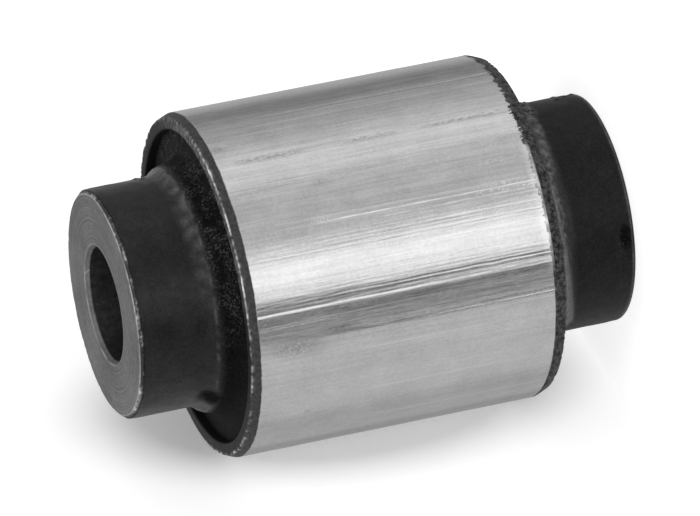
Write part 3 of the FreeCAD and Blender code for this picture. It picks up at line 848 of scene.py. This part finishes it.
# Each paper: its place, the way it faces, the middle in millimetres, the lean in degrees and the
# length of the painted shadow on it, and how its own white glow rises with distance from there: the two
# distances in millimetres and the strength at each. The least glow keeps the painted shadow pale where
# the bush doesn't hide it.
PAPERS = [("floor", -SLEEVE_TOP * UPWARDS, UPWARDS, (23.3, -14.7), -32.2, 3, (0, 20, 0.53, 0.76)),
          ("backdrop", -SHELL_RADIUS * BACKDROP_FACING, BACKDROP_FACING, (2.5, 2.4), -8.3, 1.71,
           (8.8, 22, 0.0, 0.59))]
for name, location, facing, middle, lean, length, rise in PAPERS:
    material, tree = new_tree("white_paper_" + name)
    matt = add(tree, "BsdfDiffuse", {"Color": linear("#F2F2F2")})
    place = add(tree, "TexCoord", {}).outputs["Object"]
    place = add(tree, "Mapping", {"Vector": place, "Location": (middle[0] * MM, middle[1] * MM, 0),
                                  "Rotation": (0, 0, math.radians(lean)), "Scale": (1, length, 1)},
                vector_type="TEXTURE")
    away = add(tree, "VectorMath", {0: place}, operation="LENGTH").outputs["Value"]
    # Painted shadow: the glow is weakest round the middle
    strength = add(tree, "MapRange", {"Value": away, "From Min": rise[0] * MM, "From Max": rise[1] * MM,
                                      "To Min": rise[2], "To Max": rise[3]},
                   interpolation_type="SMOOTHSTEP")
    strength = add(tree, "Math", {0: strength, 1: LEAST_GLOW}, operation="MAXIMUM")
    glow = add(tree, "Emission", {"Color": linear("#FFFFFF"), "Strength": strength})
    paper = add(tree, "AddShader", {0: matt, 1: glow})
    clear = add(tree, "BsdfTransparent", {})
    path = add(tree, "LightPath", {})
    back = add(tree, "NewGeometry", {})
    shown = add(tree, "Math", {0: path.outputs["Is Camera Ray"], 1: back.outputs["Backfacing"]},
                operation="SUBTRACT", use_clamp=True)
    add(tree, "OutputMaterial", {"Surface": add(tree, "MixShader", {0: shown, 1: clear, 2: paper})})
    stage_card(name, PAPER_SIZE, location, facing, material)

# Grey cards give the steel its darker bands. Only reflections see them. Each has the bearing on the
# barrel where the camera sees its middle, half its width in degrees, and its brightness.
CARDS = [("dark_card_1", -69.6, 11.2, 0.34), ("grey_card_1", -57, 12, 0.70),
         ("grey_card_3", -82.8, 15, 0.62), ("dark_card_2", 15.0, 5.4, 0.0),
         ("grey_card_2", 60.5, 17, 0.71), ("grey_card_4", 84, 27, 0.41)]
CARD_DISTANCE = 1.5
CARD_HEIGHT = 2.4
CAMERA_PLACE = Vector((0.06062, -1.08892, 0.31874))
for name, turn, half_width, brightness in CARDS:
    material, tree = new_tree(name + "_paper")
    glow = add(tree, "Emission", {"Color": linear("#FFFFFF"), "Strength": brightness})
    add(tree, "OutputMaterial", {"Surface": glow})
    material.cycles.emission_sampling = "NONE"
    outwards = Vector((-math.sin(math.radians(turn)), -math.cos(math.radians(turn)), 0))
    ray = (outwards * SHELL_RADIUS - CAMERA_PLACE).normalized()
    mirror = ray - 2 * ray.dot(outwards) * outwards
    location = mirror * CARD_DISTANCE + outwards * SHELL_RADIUS
    size = (2 * CARD_DISTANCE * math.tan(math.radians(half_width)), CARD_HEIGHT)
    card = stage_card(name, size, location, -mirror, material)
    card.visible_camera = False
    card.visible_diffuse = False
    card.visible_transmission = False
    card.visible_shadow = False


def soft_box(name, location, width, height, power):
    """A wide lamp that faces the bush."""
    light = bpy.data.lights.new(name, "AREA")
    light.shape = "RECTANGLE"
    light.size = width
    light.size_y = height
    light.energy = power
    lamp = bpy.data.objects.new(name, light)
    bpy.context.collection.objects.link(lamp)
    lamp.location = location
    lamp.rotation_euler = (-Vector(location)).to_track_quat("-Z", "Y").to_euler()
    lamp.visible_camera = False
    return lamp


soft_box("key", (-0.04, -2.0, -0.25), 0.95, 2.8, 9.5)
soft_box("side", (1.84, -0.54, -0.3), 0.7, 2.8, 2.6)
top_light = soft_box("overhead", (0.2, -0.3, 2.0), 2.0, 2.0, 10)
top_light.visible_glossy = False

# The surroundings: white for the camera and for reflections, and a soft fill for the rest
world = bpy.data.worlds.new("studio")
bpy.context.scene.world = world
world.use_nodes = True
tree = world.node_tree
tree.nodes.clear()
path = add(tree, "LightPath", {})
seen = add(tree, "Math", {0: path.outputs["Is Camera Ray"], 1: path.outputs["Is Glossy Ray"]},
           operation="MAXIMUM")
seen = add(tree, "Math", {0: seen, 1: path.outputs["Is Transmission Ray"]}, operation="MAXIMUM")
plain = add(tree, "Background", {"Color": linear("#FFFFFF"), "Strength": 0.45})
white = add(tree, "Background", {"Color": linear("#FFFFFF"), "Strength": 1.0})
add(tree, "OutputWorld", {"Surface": add(tree, "MixShader", {0: seen, 1: plain, 2: white})})

# The camera looks down on the bush, rolled so that the axis lies across the picture.
camera_data = bpy.data.cameras.new("photo_camera")
camera = bpy.data.objects.new("photo_camera", camera_data)
bpy.context.collection.objects.link(camera)
camera_data.lens = 476.1
camera_data.sensor_width = 36.0
camera_data.clip_start = 0.1
camera_data.clip_end = 60.0
right = Vector((-0.17995497, -0.28544011, -0.94135018))
up = Vector((0.98221365, 0.0, -0.18776671))
forward = Vector((-0.05359615, 0.95839655, -0.28036317))
turn = Matrix((right, up, -forward)).transposed()
camera.matrix_world = Matrix.Translation(CAMERA_PLACE) @ turn.to_4x4()
bpy.context.scene.camera = camera
bpy.context.scene.view_settings.view_transform = "Standard"
